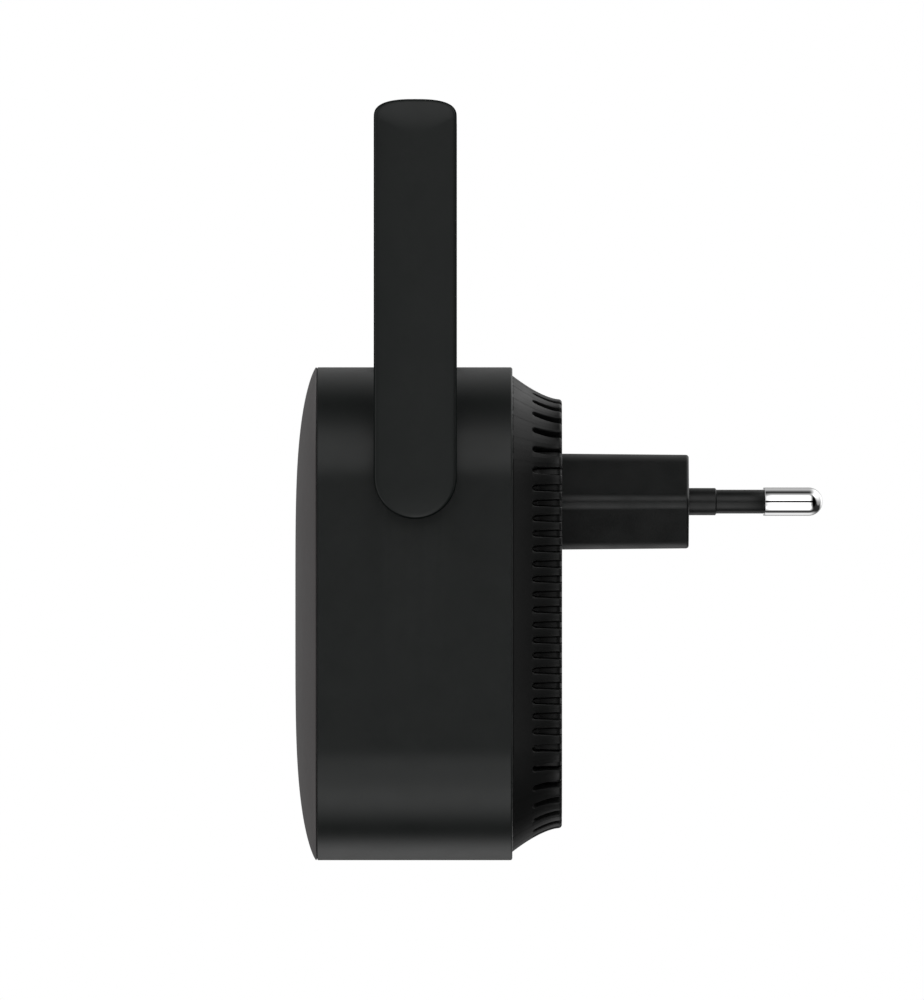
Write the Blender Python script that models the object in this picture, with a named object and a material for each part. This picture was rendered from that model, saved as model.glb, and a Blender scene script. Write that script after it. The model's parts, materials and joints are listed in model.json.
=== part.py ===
"""Wall-plug wifi range extender with two swivelling paddle antennas, as separate pieces.

Metres, +Z up. The origin is the centre of the plug's end face. +Y runs along the pins, towards the wall socket,
so the front panel faces -Y, and +X is to the right of someone who faces the front panel.
"""

import math

import bmesh
import bpy
from mathutils import Matrix, Vector

MM = 0.001

# Casing: a soft-cornered square, seen from the front
BODY_SIZE = 69.7 * MM
CORNER_RADIUS = 16.5 * MM
CORNER_POWER = 2.15
CORNER_STEPS = 9
BODY_Z = -15.85 * MM
BACK_Y = -18.0 * MM
COVER_DEPTH = 7.0 * MM
SHELL_DEPTH = 27.55 * MM
DOME_HEIGHT = 3.0 * MM
SEAM = 0.2 * MM
GAP = 0.3 * MM
SHELL_WALL = 1.8 * MM
FRONT_WEB = 1.6 * MM
EDGE_ROUND = 0.25 * MM
RIM_LAP = 1.5 * MM

RIM_Y = BACK_Y - COVER_DEPTH
SHELL_FRONT_Y = RIM_Y - SHELL_DEPTH
WEB_Y = SHELL_FRONT_Y + FRONT_WEB
PANEL_Y = SHELL_FRONT_Y - SEAM

# Front panel
PANEL_WALL = 1.5 * MM
DOME_POWER = 1.3
DOME_STEPS = 8
PIPE_RADIUS = 1.2 * MM
PIPE_Z = -15.0 * MM

# Back cover and its vent slots
COVER_STEP = 1.17 * MM
COVER_WALL = 1.6 * MM
BACK_WALL = 1.8 * MM
FLARE_INSET = 3.35 * MM
FLARE_POWER = 1.5
FLARE_STEPS = 3
BACK_EDGE = 0.5 * MM
SLOT_START = 2.8 * MM
SLOT_WIDTH = 1.0 * MM
SLOT_PITCH = 2.17 * MM
SLOT_REACH = 7.4 * MM
GROOVE_FLOOR = 5.6 * MM
GROOVE_WALL = 0.8 * MM
SIDE_SLOTS = 17
CORNER_SLOTS = 7
SLOT_CORNER = 18.2 * MM

# Screw bosses, at the same distance from the casing's middle in X and Z
BOSS_PLACE = 22.5 * MM
BOSS_RADIUS = 3.0 * MM
BOSS_END_Y = -24.3 * MM
COVER_POST_RADIUS = 3.8 * MM
COVER_POST_END_Y = -24.0 * MM
SCREW_HEAD_RADIUS = 2.5 * MM
SCREW_SHANK_RADIUS = 1.1 * MM
SCREW_SEAT_Y = -22.0 * MM

# Plug: the flat European outline, with two half-sleeved pins that lean in towards each other
PLUG_WIDTH = 35.3 * MM
PLUG_HEIGHT = 13.6 * MM
PLUG_FLAT = 23.2 * MM
PLUG_DRAFT = 0.17 * MM
PLUG_EDGE = 0.4 * MM
PLUG_WALL = 2.0 * MM
PLUG_CAVITY = (0.88, 0.70)
PLUG_FACE_WALL = 2.5 * MM
NOSE_RADIUS = 1.75 * MM
SHOULDER_RADIUS = 3.7 * MM
PLUG_END_Y = -24.1 * MM
EAR_THICKNESS = 1.6 * MM
EAR_WIDTH = 47.6 * MM
EAR_HEIGHT = 4.4 * MM
EAR_SCREW_X = 21.3 * MM
EAR_POST_RADIUS = 2.2 * MM
PIN_SPACING = 18.6 * MM
PIN_TIP_SPACING = 17.5 * MM
PIN_LENGTH = 19.0 * MM
PIN_RADIUS = 2.0 * MM
PIN_CORE_RADIUS = 0.9 * MM
PIN_CORE_END_Y = -24.0 * MM
SLEEVE_LENGTH = 10.7 * MM
SLEEVE_RADIUS = 1.69 * MM
SLEEVE_BORE = 1.2 * MM
COLLAR_LENGTH = 4.0 * MM
COLLAR_RADIUS = 1.93 * MM

# Antennas and their pivots
PIVOT_Y = -38.7 * MM
PIVOT_Z = 3.4 * MM
ANTENNA_WIDTH = 11.7 * MM
ANTENNA_REACH = 53.25 * MM
ANTENNA_DOME = 2.6 * MM
ANTENNA_DOME_POWER = 2.5
ANTENNA_THICKNESS = 6.5 * MM
ANTENNA_GAP = 0.4 * MM
INNER_COVER_THICKNESS = 2.05 * MM
COVER_SEAM = 0.15 * MM
HUB_RADIUS = 3.4 * MM
HUB_LENGTH = 7.7 * MM
HUB_BORE = 1.7 * MM
GROOVE_RADIUS = 2.9 * MM
BUSH_BORE = 3.65 * MM
BUSH_RADIUS = 4.35 * MM
BUSH_FLANGE = 5.6 * MM
BUSH_HOLE = 4.6 * MM
PIVOT_PAD_RADIUS = 6.4 * MM
PIVOT_PAD_X = 31.4 * MM
BUSH_FOOT_X = PIVOT_PAD_X - 1.1 * MM
WASHER_X = BUSH_FOOT_X - 0.7 * MM
RING_X = WASHER_X - 0.8 * MM
COAX_RADIUS = 0.8 * MM
SIDE_X = BODY_SIZE / 2
ANTENNA_X = SIDE_X + ANTENNA_GAP

# Boards, plus-shaped to clear the screw bosses
POWER_BOARD_Y = -27.6 * MM
POWER_BOARD_THICKNESS = 1.6 * MM
LOGIC_BOARD_Y = -49.6 * MM
LOGIC_BOARD_THICKNESS = 1.2 * MM
BOARD_WIDE = 31.0 * MM
BOARD_TALL = 30.0 * MM
BOARD_NARROW = 18.2 * MM
RESET_Y = -47.1 * MM
PLUNGER_RADIUS = 0.8 * MM


def clear_scene():
    for obj in list(bpy.data.objects):
        bpy.data.objects.remove(obj, do_unlink=True)


def material(name, colour, roughness, metallic=0.0):
    mat = bpy.data.materials.new(name)
    mat.use_nodes = True
    shader = mat.node_tree.nodes["Principled BSDF"]
    shader.inputs["Base Color"].default_value = (*colour, 1.0)
    shader.inputs["Roughness"].default_value = roughness
    shader.inputs["Metallic"].default_value = metallic
    return mat


def add_object(name, bm, look, location=(0, 0, 0)):
    """Turns a bmesh into a named object with its faces pointing out and its own material."""
    bmesh.ops.recalc_face_normals(bm, faces=bm.faces)
    mesh = bpy.data.meshes.new(name)
    bm.to_mesh(mesh)
    bm.free()
    mesh.shade_smooth()
    mesh.set_sharp_from_angle(angle=math.radians(35))
    obj = bpy.data.objects.new(name, mesh)
    obj.location = location
    bpy.context.collection.objects.link(obj)
    if look:
        mesh.materials.append(material(name, *look))
    return obj


def combine(target, tools, operation):
    """Cuts the tools from the target, or joins them to it, and leaves them as hidden guides."""
    for tool in tools:
        tool.hide_render = True
        tool.display_type = "WIRE"
        modifier = target.modifiers.new(tool.name, "BOOLEAN")
        modifier.operation = operation
        modifier.object = tool
        modifier.solver = "EXACT"


def cut(target, *tools):
    combine(target, tools, "DIFFERENCE")


def join(target, *tools):
    combine(target, tools, "UNION")


def add_empty(name, location):
    empty = bpy.data.objects.new(name, None)
    empty.location = location
    bpy.context.collection.objects.link(empty)
    return empty


def put_under(parent, *pieces):
    """Parents pieces that are placed in world coordinates, and keeps them where they are."""
    for piece in pieces:
        piece.location = Vector(piece.location) - Vector(parent.location)
        piece.parent = parent


def loft(name, sections, look, location=(0, 0, 0)):
    """A skin over rings of points, closed by a flat face at each end."""
    bm = bmesh.new()
    rings = [[bm.verts.new(point) for point in section] for section in sections]
    for ring, following in zip(rings, rings[1:]):
        for i in range(len(ring)):
            j = (i + 1) % len(ring)
            bm.faces.new((ring[i], ring[j], following[j], following[i]))
    bm.faces.new(rings[0])
    bm.faces.new(rings[-1])
    return add_object(name, bm, look, location)


def turned(name, profile, look, location=(0, 0, 0), axis="Z", steps=16, hollow=False):
    """Spins (radius, height) points about an axis. A hollow profile closes on itself, a solid one on the axis."""
    bm = bmesh.new()
    points = list(profile)
    if not hollow:
        points = [(0.0, points[0][1])] + points + [(0.0, points[-1][1])]
    verts = [bm.verts.new((radius, 0.0, height)) for radius, height in points]
    edges = [bm.edges.new(pair) for pair in zip(verts, verts[1:])]
    if hollow:
        edges.append(bm.edges.new((verts[-1], verts[0])))
    bmesh.ops.spin(bm, geom=verts + edges, cent=(0, 0, 0), axis=(0, 0, 1), angle=math.tau, steps=steps,
                   use_merge=True)
    bmesh.ops.remove_doubles(bm, verts=bm.verts, dist=1e-6)
    turn = {"X": Matrix.Rotation(math.pi / 2, 4, "Y"), "Y": Matrix.Rotation(-math.pi / 2, 4, "X"),
            "Z": Matrix.Identity(4)}[axis]
    bmesh.ops.transform(bm, matrix=turn, verts=bm.verts)
    return add_object(name, bm, look, location)


def rod(name, radius, start, end, look, location=(0, 0, 0), axis="Z", steps=16):
    return turned(name, [(radius, start), (radius, end)], look, location, axis, steps)


def block(name, low, high, look, chamfer=0.0):
    """A box between two corners, with its edges chamfered."""
    centre = [(a + b) / 2 for a, b in zip(low, high)]
    size = [b - a for a, b in zip(low, high)]
    bm = bmesh.new()
    bmesh.ops.create_cube(bm, size=1.0, matrix=Matrix.Diagonal((*size, 1.0)))
    if chamfer:
        bmesh.ops.bevel(bm, geom=bm.edges[:], offset=chamfer, segments=1, affect="EDGES")
    return add_object(name, bm, look, centre)


def extruded(name, outline, start, end, look, plane="XZ"):
    """Extrudes an outline from start to end: an XZ outline along Y, or an XY outline along Z."""
    place = {"XZ": lambda a, b, c: (a, c, b), "XY": lambda a, b, c: (a, b, c)}[plane]
    return loft(name, [[place(a, b, c) for a, b in outline] for c in (start, end)], look)


def tube(name, points, radius, look):
    """A lead along a smooth curve through hand-placed points."""
    curve = bpy.data.curves.new(name, "CURVE")
    curve.dimensions = "3D"
    curve.bevel_depth = radius
    curve.bevel_resolution = 2
    curve.use_fill_caps = True
    spline = curve.splines.new("POLY")
    route = smooth_route([Vector(point) for point in points])
    spline.points.add(len(route) - 1)
    for target, point in zip(spline.points, route):
        target.co = (*point, 1.0)
    obj = bpy.data.objects.new(name, curve)
    bpy.context.collection.objects.link(obj)
    curve.materials.append(material(name, *look))
    return obj


def smooth_route(points, steps=3):
    """Points of a Catmull-Rom curve through the given ones."""
    padded = [2 * points[0] - points[1]] + points + [2 * points[-1] - points[-2]]
    route = []
    for a, b, c, d in zip(padded, padded[1:], padded[2:], padded[3:]):
        for i in range(steps):
            t = i / steps
            route.append(0.5 * (2 * b + (c - a) * t + (2 * a - 5 * b + 4 * c - d) * t ** 2
                                + (3 * b - a - 3 * c + d) * t ** 3))
    return route + [points[-1]]


def body_outline(inset, steps=CORNER_STEPS):
    """The casing's soft-cornered square in X and Z, about the casing's middle, drawn in by inset."""
    radius = CORNER_RADIUS - inset
    straight = BODY_SIZE / 2 - CORNER_RADIUS
    points = []
    for quarter in range(4):
        turn = Matrix.Rotation(math.radians(90 * quarter), 2)
        for i in range(steps + 1):
            angle = math.radians(90 * i / steps)
            corner = Vector((straight + radius * math.cos(angle) ** (2 / CORNER_POWER),
                             straight + radius * math.sin(angle) ** (2 / CORNER_POWER)))
            points.append(turn @ corner)
    return points


def casing_section(y, inset, scale=1.0):
    return [(point.x * scale, y, point.y * scale) for point in body_outline(inset)]


def rounded_polygon(corners, radii, steps=3):
    """A convex outline with every corner rounded to its own radius."""
    points = []
    for i, (corner, radius) in enumerate(zip(corners, radii)):
        here = Vector(corner)
        to_last = (Vector(corners[i - 1]) - here).normalized()
        to_next = (Vector(corners[(i + 1) % len(corners)]) - here).normalized()
        half_angle = to_last.angle(to_next) / 2
        centre = here + (to_last + to_next).normalized() * radius / math.sin(half_angle)
        start = here + to_last * radius / math.tan(half_angle) - centre
        finish = here + to_next * radius / math.tan(half_angle) - centre
        for step in range(steps + 1):
            points.append(centre + start.slerp(finish, step / steps).normalized() * radius)
    return points


def plug_outline(grow):
    """The flat plug's outline in X and Z: two long flats, four 45 degree slants and two rounded noses."""
    spread = grow * math.tan(math.radians(22.5))
    width, height = PLUG_WIDTH / 2 + grow, PLUG_HEIGHT / 2 + grow
    flat = PLUG_FLAT / 2 + spread
    nose = PLUG_HEIGHT / 2 - (PLUG_WIDTH - PLUG_FLAT) / 2 + spread
    corners = [(width, -nose), (width, nose), (flat, height), (-flat, height),
               (-width, nose), (-width, -nose), (-flat, -height), (flat, -height)]
    nose_radius, shoulder_radius = NOSE_RADIUS + grow, SHOULDER_RADIUS + grow
    return rounded_polygon(corners, [nose_radius, nose_radius, shoulder_radius, shoulder_radius] * 2)


def plug_section(y, grow, scale=(1.0, 1.0)):
    return [(point.x * scale[0], y, point.y * scale[1]) for point in plug_outline(grow)]


def antenna_outline(inset, steps=10):
    """The paddle's outline in Y and Z about its pivot: round below, a low dome above."""
    half = ANTENNA_WIDTH / 2 - inset
    shoulder = ANTENNA_REACH - ANTENNA_DOME
    rise = ANTENNA_DOME - inset * ANTENNA_DOME * 2 / ANTENNA_WIDTH
    points = []
    for i in range(steps + 1):
        angle = math.pi + math.pi * i / steps
        points.append((half * math.cos(angle), half * math.sin(angle)))
    for i in range(steps + 1):
        angle = math.pi * i / steps
        across, up = math.cos(angle), max(math.sin(angle), 0.0)
        points.append((math.copysign(half * abs(across) ** (2 / ANTENNA_DOME_POWER), across),
                       shoulder - inset * 0.5 + rise * up ** (2 / ANTENNA_DOME_POWER)))
    return points


def antenna_section(x, inset):
    return [(x, y, z) for y, z in antenna_outline(inset)]


def boss_places():
    return {"top_right": (1, 1), "top_left": (-1, 1), "bottom_left": (-1, -1), "bottom_right": (1, -1)}


def boss_rods(name, radius, start_y, end_y, steps=12):
    """One guide rod at each of the casing's four screw bosses."""
    return [rod(f"{name}_{place}", radius, start_y, end_y, None,
                (BOSS_PLACE * x, 0, BODY_Z + BOSS_PLACE * z), "Y", steps)
            for place, (x, z) in boss_places().items()]


def main_shell():
    """The square sleeve, closed in front by a web, open behind, with four screw bosses."""
    lap_inset = COVER_STEP - GAP
    sections = [(SHELL_FRONT_Y, EDGE_ROUND), (SHELL_FRONT_Y + EDGE_ROUND, 0.0), (RIM_Y - EDGE_ROUND, 0.0),
                (RIM_Y, EDGE_ROUND), (RIM_Y, lap_inset), (RIM_Y - RIM_LAP, lap_inset),
                (RIM_Y - RIM_LAP, SHELL_WALL), (WEB_Y, SHELL_WALL)]
    shell = loft("main_shell", [casing_section(y, inset) for y, inset in sections],
                 ((0.019, 0.021, 0.019), 0.45), (0, 0, BODY_Z))
    join(shell, *boss_rods("shell_boss", BOSS_RADIUS, WEB_Y - 0.5 * MM, BOSS_END_Y, 14))
    cut(shell, *boss_rods("shell_pilot", SCREW_SHANK_RADIUS + 0.2 * MM, -34.0 * MM, BOSS_END_Y + 1 * MM, 10))
    for name, side in (("left", -1), ("right", 1)):
        pivot = (0, PIVOT_Y, PIVOT_Z)
        join(shell, rod(f"{name}_pivot_pad", PIVOT_PAD_RADIUS, side * PIVOT_PAD_X, side * (SIDE_X - 1.6 * MM), None,
                        pivot, "X", 20))
        cut(shell, rod(f"{name}_pivot_hole", BUSH_HOLE, side * (PIVOT_PAD_X - 1 * MM), side * (SIDE_X + 1 * MM),
                       None, pivot, "X", 20))
    cut(shell, rod("pipe_hole", PIPE_RADIUS + GAP, SHELL_FRONT_Y - 1 * MM, WEB_Y + 1 * MM, None,
                   (0, 0, BODY_Z + PIPE_Z), "Y", 12))
    cut(shell, rod("reset_pinhole", 0.75 * MM, -SIDE_X - 1 * MM, -SIDE_X + 3 * MM, None,
                   (0, RESET_Y, BODY_Z), "Z", 12))


def front_panel():
    """A thin domed plate over the web, hollow behind."""
    def height(scale):
        return DOME_HEIGHT * max(1 - scale ** 4, 0.0) ** (1 / DOME_POWER)

    outer_scales = [math.sin(math.radians(90 - 86 * i / DOME_STEPS)) for i in range(DOME_STEPS + 1)]
    inner_scales = [0.1, 0.5, 0.75, 0.86]
    sections = [(PANEL_Y - height(scale) + PANEL_WALL, scale) for scale in inner_scales]
    sections += [(PANEL_Y, 0.9)] + [(PANEL_Y - height(scale), scale) for scale in outer_scales]
    panel = loft("front_panel", [casing_section(y, 0.0, scale) for y, scale in sections],
                 ((0.028, 0.030, 0.028), 0.42), (0, 0, BODY_Z))
    cut(panel, rod("panel_pipe_hole", PIPE_RADIUS + 0.1 * MM, PANEL_Y - 5 * MM, PANEL_Y + 1 * MM, None,
                   (0, 0, BODY_Z + PIPE_Z), "Y", 12))


def light_pipe():
    front = PANEL_Y - DOME_HEIGHT + 0.25 * MM
    turned("light_pipe", [(PIPE_RADIUS, WEB_Y + 0.2 * MM), (PIPE_RADIUS, front + 0.2 * MM),
                          (PIPE_RADIUS - 0.3 * MM, front)],
           ((0.75, 0.78, 0.80), 0.25), (0, 0, BODY_Z + PIPE_Z), "Y", 12)


def flare(t):
    """How far the back cover is drawn in, t of the way along its waist."""
    return COVER_STEP + FLARE_INSET * (1 - (1 - t) ** FLARE_POWER)


def cover_sections():
    waist = COVER_DEPTH - BACK_EDGE
    flange_y = RIM_Y - RIM_LAP + GAP
    inner_back = BACK_Y - BACK_WALL
    inner = [(inner_back, GROOVE_FLOOR + 2 * GROOVE_WALL), (inner_back - 0.8 * MM, GROOVE_FLOOR + GROOVE_WALL),
             (RIM_Y + SLOT_START - GROOVE_WALL, GROOVE_FLOOR + GROOVE_WALL),
             (RIM_Y + 1 * MM, flare(0.2) + COVER_WALL)]
    inner += [(flange_y, COVER_STEP + COVER_WALL), (flange_y, COVER_STEP)]
    outer = [(RIM_Y + waist * i / FLARE_STEPS, flare(i / FLARE_STEPS)) for i in range(FLARE_STEPS + 1)]
    edge = [(BACK_Y - 0.15 * MM, flare(1) + 0.15 * MM), (BACK_Y, flare(1) + BACK_EDGE)]
    return inner + outer + edge


def slot_cutter():
    """All the vent slots as one guide: a row along each side, and a fan round each corner.

    The rows above and below and the corner fans go right through. The left and right rows are blind grooves.
    """
    bm = bmesh.new()
    start, end = RIM_Y + SLOT_START, BACK_Y + 1 * MM

    def add_slot(matrix, outer, reach=SLOT_REACH):
        depth = reach + 1 * MM
        middle = Matrix.Translation((outer + 1 * MM - depth / 2, (start + end) / 2, 0))
        size = Matrix.Diagonal((depth, end - start, SLOT_WIDTH, 1))
        bmesh.ops.create_cube(bm, size=1.0, matrix=matrix @ middle @ size)

    for quarter in range(4):
        turn = Matrix.Rotation(math.radians(90 * quarter), 4, "Y")
        for i in range(SIDE_SLOTS):
            along = (i - (SIDE_SLOTS - 1) / 2) * SLOT_PITCH
            reach = SLOT_REACH if quarter % 2 else GROOVE_FLOOR
            add_slot(turn @ Matrix.Translation((0, 0, along)), BODY_SIZE / 2, reach)
        for i in range(CORNER_SLOTS):
            angle = math.radians((i + 0.5) * 90 / CORNER_SLOTS)
            corner = Matrix.Translation((SLOT_CORNER, 0, SLOT_CORNER)) @ Matrix.Rotation(-angle, 4, "Y")
            add_slot(turn @ corner, BODY_SIZE / 2 - SLOT_CORNER)
    return add_object("vent_slots", bm, None, (0, 0, BODY_Z))


def back_cover():
    """The waisted rear shell, with vent slots, screw posts and the opening for the plug."""
    cover = loft("back_cover", [casing_section(y, inset) for y, inset in cover_sections()],
                 ((0.017, 0.018, 0.017), 0.5), (0, 0, BODY_Z))
    cut(cover, slot_cutter())
    join(cover, *boss_rods("cover_post", COVER_POST_RADIUS, COVER_POST_END_Y, BACK_Y - 1 * MM))
    cut(cover, *boss_rods("screw_recess", SCREW_HEAD_RADIUS + 0.4 * MM, SCREW_SEAT_Y, BACK_Y + 1 * MM))
    cut(cover, *boss_rods("screw_way", SCREW_SHANK_RADIUS + 0.4 * MM, COVER_POST_END_Y - 1 * MM,
                          SCREW_SEAT_Y + 1 * MM))
    for name, side in (("left", -1), ("right", 1)):
        place = (side * EAR_SCREW_X, 0, 0)
        join(cover, rod(f"{name}_ear_post", EAR_POST_RADIUS, -22.2 * MM, BACK_Y - 1 * MM, None, place, "Y", 12))
        cut(cover, rod(f"{name}_ear_pilot", 1.2 * MM, -23.0 * MM, -19.0 * MM, None, place, "Y", 12))
    opening = loft("plug_opening", [plug_section(BACK_Y + 1 * MM, GAP), plug_section(-30 * MM, GAP)], None)
    cut(cover, opening)


def screw(name, place, head_y, head_radius, shank_radius, length, faces_wall):
    """A pan-head screw with a cross recess. Its head faces the wall, or else the front."""
    way = 1 if faces_wall else -1
    head = 1.3 * MM
    profile = [(head_radius * 0.7, way * head), (head_radius, way * head * 0.55), (head_radius, 0.0),
               (shank_radius, 0.0), (shank_radius, -way * (length - 1 * MM)),
               (shank_radius * 0.35, -way * length)]
    body = turned(name, profile, ((0.55, 0.55, 0.56), 0.3, 1.0), (place[0], head_y, place[1]), "Y", 12)
    arm, width = head_radius * 0.62, 0.35 * MM
    for side, (x, z) in (("a", (arm, width)), ("b", (width, arm))):
        low = (place[0] - x, head_y + min(way * 0.5, way * 2) * MM, place[1] - z)
        high = (place[0] + x, head_y + max(way * 0.5, way * 2) * MM, place[1] + z)
        cut(body, block(f"{name}_recess_{side}", low, high, None))


def cover_screws():
    for place, (x, z) in boss_places().items():
        screw(f"cover_screw_{place}", (BOSS_PLACE * x, BODY_Z + BOSS_PLACE * z), SCREW_SEAT_Y + GAP,
              SCREW_HEAD_RADIUS, SCREW_SHANK_RADIUS, 10 * MM, True)


def plug_body():
    """The moulded plug, hollow from inside, with two ears that hold it behind the cover's back wall."""
    cavity = [plug_section(y, 0.0, PLUG_CAVITY) for y in (-PLUG_FACE_WALL, PLUG_END_Y)]
    outside = [(PLUG_END_Y, 0.0), (BACK_Y, 0.0), (-PLUG_EDGE, -PLUG_DRAFT),
               (-0.1 * MM, -PLUG_DRAFT - 0.1 * MM), (0.0, -PLUG_DRAFT - PLUG_EDGE)]
    body = loft("plug_body", cavity + [plug_section(y, grow) for y, grow in outside],
                ((0.016, 0.017, 0.016), 0.48))
    for name, side in (("left", -1), ("right", 1)):
        near, far = side * (PLUG_WIDTH / 2 - PLUG_WALL * 0.8), side * EAR_WIDTH / 2
        low = (min(near, far), PLUG_END_Y, -EAR_HEIGHT / 2)
        high = (max(near, far), PLUG_END_Y + EAR_THICKNESS, EAR_HEIGHT / 2)
        join(body, block(f"{name}_ear", low, high, None))
        cut(body, rod(f"{name}_ear_hole", 1.3 * MM, PLUG_END_Y - 1 * MM, PLUG_END_Y + 3 * MM, None,
                      (side * EAR_SCREW_X, 0, 0), "Y", 12))
        hole = rod(f"{name}_pin_hole", COLLAR_RADIUS + 0.2 * MM, -6 * MM, 2 * MM, None,
                   (side * PIN_SPACING / 2, 0, 0), "Y", 16)
        hole.rotation_euler.z = side * pin_lean()
        cut(body, hole)


def plug_screws():
    for name, side in (("left", -1), ("right", 1)):
        screw(f"plug_screw_{name}", (side * EAR_SCREW_X, 0), PLUG_END_Y - 0.2 * MM, 2.0 * MM, 0.95 * MM,
              5 * MM, False)


def pin_lean():
    return math.atan((PIN_SPACING - PIN_TIP_SPACING) / 2 / PIN_LENGTH)


def pins():
    """Two round pins: a bare round-ended tip on a core that runs through an insulating sleeve into the casing."""
    tip_start = SLEEVE_LENGTH + 0.1 * MM
    tip = [(PIN_RADIUS - 0.25 * MM, tip_start), (PIN_RADIUS, tip_start + 0.25 * MM)]
    tip += [(PIN_RADIUS * math.cos(math.radians(a)), PIN_LENGTH - PIN_RADIUS * (1 - math.sin(math.radians(a))))
            for a in (0, 25, 50, 72)]
    core = [(PIN_CORE_RADIUS, PIN_CORE_END_Y), (PIN_CORE_RADIUS, tip_start)]
    sleeve = [(SLEEVE_BORE, -PLUG_FACE_WALL), (COLLAR_RADIUS, -PLUG_FACE_WALL),
              (COLLAR_RADIUS, COLLAR_LENGTH - 0.2 * MM), (SLEEVE_RADIUS, COLLAR_LENGTH),
              (SLEEVE_RADIUS, SLEEVE_LENGTH), (SLEEVE_BORE, SLEEVE_LENGTH)]
    for name, side in (("left", -1), ("right", 1)):
        place = (side * PIN_SPACING / 2, 0, 0)
        pin = turned(f"{name}_pin", core + tip, ((0.75, 0.74, 0.72), 0.15, 1.0), place, "Y", 18)
        cover = turned(f"{name}_pin_sleeve", sleeve, ((0.014, 0.015, 0.014), 0.45), place, "Y", 18, hollow=True)
        pin.rotation_euler.z = cover.rotation_euler.z = side * pin_lean()


def contact_strips():
    """Bent brass strips from the inner ends of the pins to the power board."""
    for name, side in (("left", -1), ("right", 1)):
        near, far, thick = side * 8.0 * MM, side * 13.5 * MM, side * 0.5 * MM
        back, board = -24.3 * MM, POWER_BOARD_Y + POWER_BOARD_THICKNESS + GAP
        outline = [(near, back), (far, back), (far, board), (far - thick, board),
                   (far - thick, back - abs(thick)), (near, back - abs(thick))]
        extruded(f"{name}_contact_strip", outline, -2.0 * MM, 2.0 * MM, ((0.72, 0.55, 0.25), 0.3, 1.0), "XY")


def board(name, low_y, thickness, colour):
    """A plus-shaped circuit board that fits between the screw bosses."""
    outline = [(BOARD_WIDE, -BOARD_NARROW), (BOARD_WIDE, BOARD_NARROW), (BOARD_NARROW, BOARD_NARROW),
               (BOARD_NARROW, BOARD_TALL), (-BOARD_NARROW, BOARD_TALL), (-BOARD_NARROW, BOARD_NARROW),
               (-BOARD_WIDE, BOARD_NARROW), (-BOARD_WIDE, -BOARD_NARROW), (-BOARD_NARROW, -BOARD_NARROW),
               (-BOARD_NARROW, -BOARD_TALL), (BOARD_NARROW, -BOARD_TALL), (BOARD_NARROW, -BOARD_NARROW)]
    outline = [(x, z + BODY_Z) for x, z in outline]
    extruded(name, outline, low_y, low_y + thickness, (colour, 0.5))


def on_power_board(name, x, z, width, tall, height, colour, chamfer=0.2 * MM):
    """A boxy part on the front of the power board. Its place is measured from the casing's middle."""
    top = POWER_BOARD_Y - GAP
    return block(name, (x - width / 2, top - height, BODY_Z + z - tall / 2),
                 (x + width / 2, top, BODY_Z + z + tall / 2), (colour, 0.5), chamfer)


def can(name, x, z, radius, height, look):
    """A round part standing on the power board, with a rolled rim."""
    top = POWER_BOARD_Y - GAP
    roll = radius * 0.12
    profile = [(radius - roll, top), (radius, top - roll), (radius, top - height + roll),
               (radius - roll, top - height)]
    turned(name, profile, look, (x, 0, BODY_Z + z), "Y", 16)


def transformer(x, z):
    """A closed ferrite core whose middle leg passes through the winding."""
    near, far = POWER_BOARD_Y - GAP, POWER_BOARD_Y - 12.8 * MM
    middle_z = BODY_Z + z
    core = block("transformer_core", (x - 8 * MM, far, middle_z - 3 * MM), (x + 8 * MM, near, middle_z + 3 * MM),
                 ((0.03, 0.03, 0.032), 0.6), 0.3 * MM)
    for side in (-1, 1):
        edges = sorted((x + side * 2.2 * MM, x + side * 6.2 * MM))
        window = block(f"core_window_{'left' if side < 0 else 'right'}",
                       (edges[0], far + 2.2 * MM, middle_z - 5 * MM),
                       (edges[1], near - 2.2 * MM, middle_z + 5 * MM), None)
        cut(core, window)
    winding = block("transformer_winding", (x - 5.8 * MM, far + 2.6 * MM, middle_z - 6.4 * MM),
                    (x + 5.8 * MM, near - 2.6 * MM, middle_z + 6.4 * MM), ((0.75, 0.6, 0.12), 0.45), 0.6 * MM)
    cut(winding, block("winding_bore", (x - 2.5 * MM, far, middle_z - 3.3 * MM),
                       (x + 2.5 * MM, near, middle_z + 3.3 * MM), None))


def power_parts():
    transformer(-6.5 * MM, 3 * MM)
    dark, blue = (0.02, 0.02, 0.022), (0.05, 0.12, 0.35)
    can("bulk_capacitor_upper", 10 * MM, 22 * MM, 4 * MM, 12.5 * MM, ((0.04, 0.05, 0.09), 0.35))
    can("bulk_capacitor_lower", 10 * MM, 12.5 * MM, 4 * MM, 12.5 * MM, ((0.04, 0.05, 0.09), 0.35))
    can("output_capacitor", 10 * MM, -8 * MM, 3.2 * MM, 9 * MM, ((0.06, 0.16, 0.08), 0.35))
    can("choke", -8 * MM, 22 * MM, 3.5 * MM, 8 * MM, ((0.03, 0.03, 0.03), 0.6))
    on_power_board("bridge_rectifier", 10 * MM, 2 * MM, 6.4 * MM, 4.6 * MM, 2.4 * MM, dark)
    on_power_board("switching_controller", -8 * MM, -10 * MM, 5 * MM, 4 * MM, 1.6 * MM, dark)
    on_power_board("y_capacitor", 1 * MM, -16 * MM, 8 * MM, 3.2 * MM, 7 * MM, blue, 1.0 * MM)
    turned("fusible_resistor", [(1.1 * MM, -4.5 * MM), (1.8 * MM, -3.8 * MM), (1.8 * MM, 3.8 * MM),
                                (1.1 * MM, 4.5 * MM)], ((0.15, 0.30, 0.20), 0.5),
           (0, POWER_BOARD_Y - 2.2 * MM, BODY_Z + 27 * MM), "X", 12)


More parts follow.
